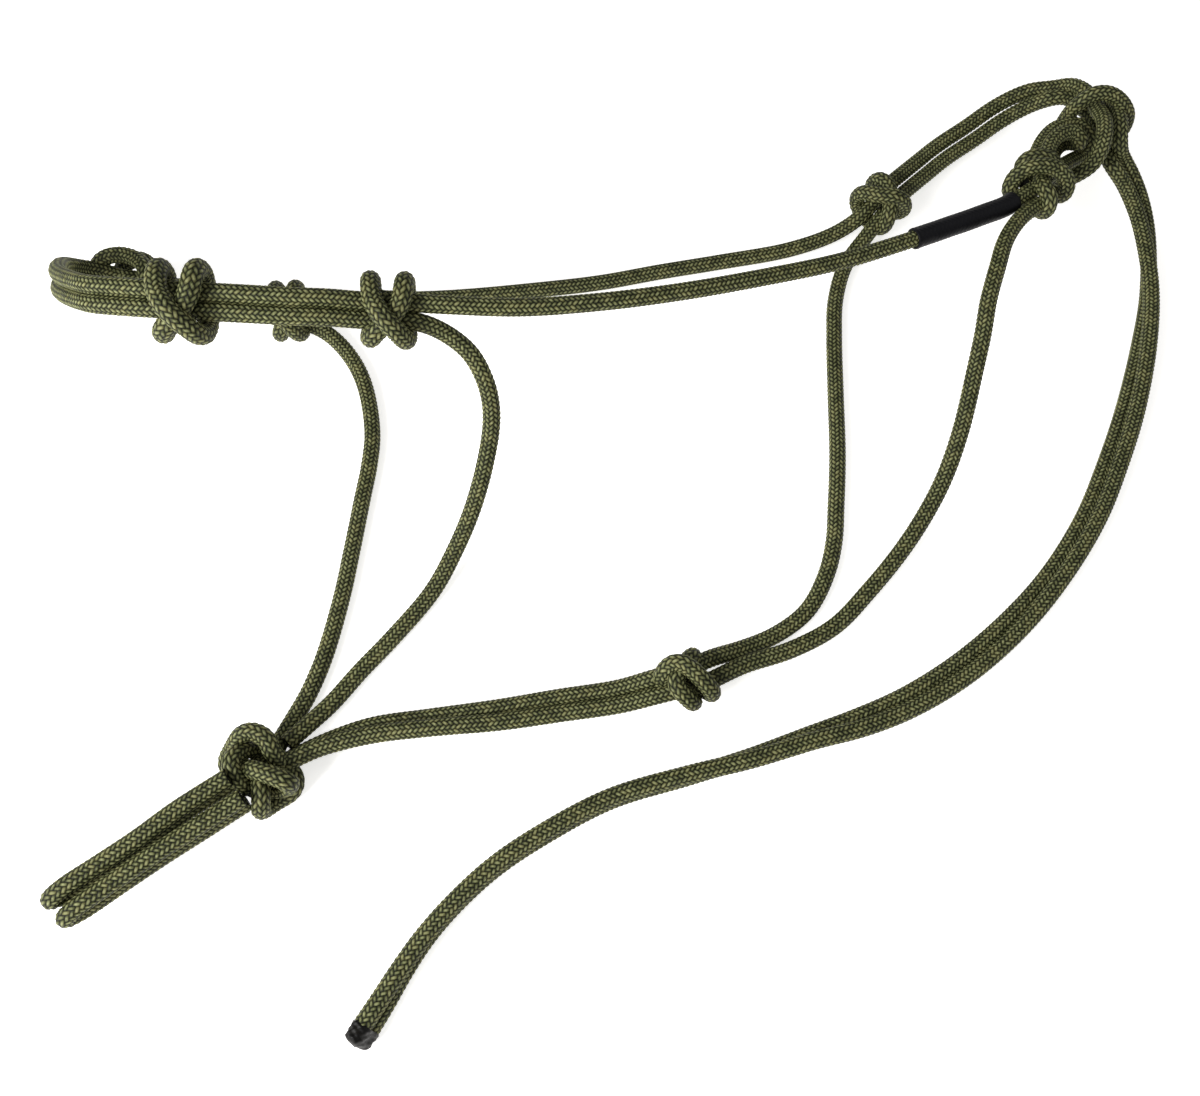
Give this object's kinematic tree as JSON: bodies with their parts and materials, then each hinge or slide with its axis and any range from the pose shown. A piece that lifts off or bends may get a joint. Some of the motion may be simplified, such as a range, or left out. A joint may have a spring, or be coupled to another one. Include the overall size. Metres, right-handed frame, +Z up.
{
  "type": "rope halter",
  "caption": "Horse halter tied from one thin braided rope: doubled noseband, cheek, chin and throat strands, knots, lead loops, a crown hitched to an eye and a long doubled tail.",
  "frame": {"origin": "centre of the bounding box in plan, on the plane the halter rests on", "axes": "+X runs from the noseband to the tied crown, +Z is up from the surface it lies on, +Y runs from the tail's end to the crown"},
  "size_m": [0.4502, 0.3892, 0.1006],
  "materials": {
    "rope": "tightly braided olive polyester cord with a low sheen",
    "sleeve": "shrunk-on near-black tubing, satin",
    "melted_end": "rope ends melted together, dark and glossy"
  },
  "bodies": {
    "halter": {"noseband_front_upper": "rope", "noseband_front_lower": "rope", "noseband_near_upper": "rope", "noseband_near_lower": "rope", "noseband_far_upper": "rope", "noseband_far_lower": "rope", "cheek_piece_near": "rope", "cheek_piece_far": "rope", "chin_strand_near": "rope", "chin_strand_far": "rope", "jaw_strand_a": "rope", "jaw_strand_b": "rope", "throat_strand_near": "rope", "throat_strand_far": "rope", "crown_strand_a": "rope", "crown_strand_b": "rope", "tie_loop_outer": "rope", "tie_loop_inner": "rope", "hitch_turn": "rope", "nose_knot_near": "rope", "nose_knot_far": "rope", "cheek_knot_near": "rope", "cheek_knot_far": "rope", "throat_knot": "rope", "poll_knot_far": "rope", "poll_knot_near": "rope", "chin_knot": "rope", "crown_hitch_a": "rope", "crown_hitch_b": "rope", "label_sleeve": "sleeve"},
    "loop_a": {"lead_loop_a": "rope"},
    "loop_b": {"lead_loop_b": "rope"},
    "tail": {"tail_strand_a": "rope", "tail_strand_b": "rope", "tail_tip": "melted_end"}
  },
  "joints": [
    {"name": "lead_loop_a_swing", "type": "hinge", "parent": "halter", "child": "loop_a", "pos_m": [-0.138, -0.11, 0.018], "axis": [0, 0, 1], "range_deg": [-35, 0]},
    {"name": "lead_loop_b_swing", "type": "hinge", "parent": "halter", "child": "loop_b", "pos_m": [-0.133, -0.1165, 0.016], "axis": [0, 0, 1], "range_deg": [0, 35]},
    {"name": "tail_swing", "type": "hinge", "parent": "halter", "child": "tail", "pos_m": [0.2083, 0.153, 0.0244], "axis": [0, 0, 1], "range_deg": [0, 40]}
  ]
}
